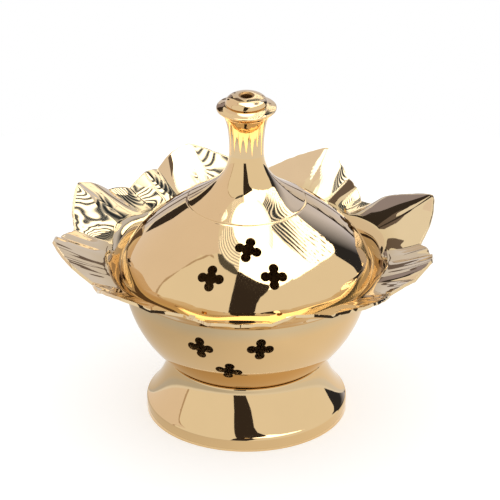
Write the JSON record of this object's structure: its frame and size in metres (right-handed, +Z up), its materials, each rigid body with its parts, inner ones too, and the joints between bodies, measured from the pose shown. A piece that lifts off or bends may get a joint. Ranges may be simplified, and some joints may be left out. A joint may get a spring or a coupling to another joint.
{
  "type": "footed censer with petal rim",
  "caption": "Small brass tabletop censer: a pierced round bowl on a flared foot, a flared petal rim and a pierced lift-off lid with a button knob.",
  "frame": {"origin": "centre of the foot's flat base, on the surface that the censer stands on", "axes": "+Z up along the turned axis, -Y towards the viewer of the picture, +X to the viewer's right"},
  "size_m": [0.1149, 0.1167, 0.1035],
  "materials": {
    "polished_brass": "mirror polished",
    "pale_brass": "mirror polished, file-cut edges",
    "dull_brass": "as spun, unpolished",
    "plated_steel": "plain plated"
  },
  "bodies": {
    "base": {"foot": "polished_brass", "bowl": "polished_brass", "petal_ring": "pale_brass", "base_screw": "plated_steel", "base_washer": "plated_steel", "base_nut": "plated_steel"},
    "dish": {"charcoal_dish": "dull_brass"},
    "lid": {"lid_dome": "polished_brass", "lid_centring_ring": "dull_brass", "lid_neck": "polished_brass", "knob_saucer": "polished_brass", "knob_button": "polished_brass"}
  },
  "joints": [
    {"name": "lid_lift", "type": "slide", "parent": "base", "child": "lid", "axis": [0, 0, 1], "range_m": [0, 0.06]},
    {"name": "dish_lift", "type": "slide", "parent": "base", "child": "dish", "axis": [0, 0, 1], "range_m": [0, 0.03]}
  ]
}
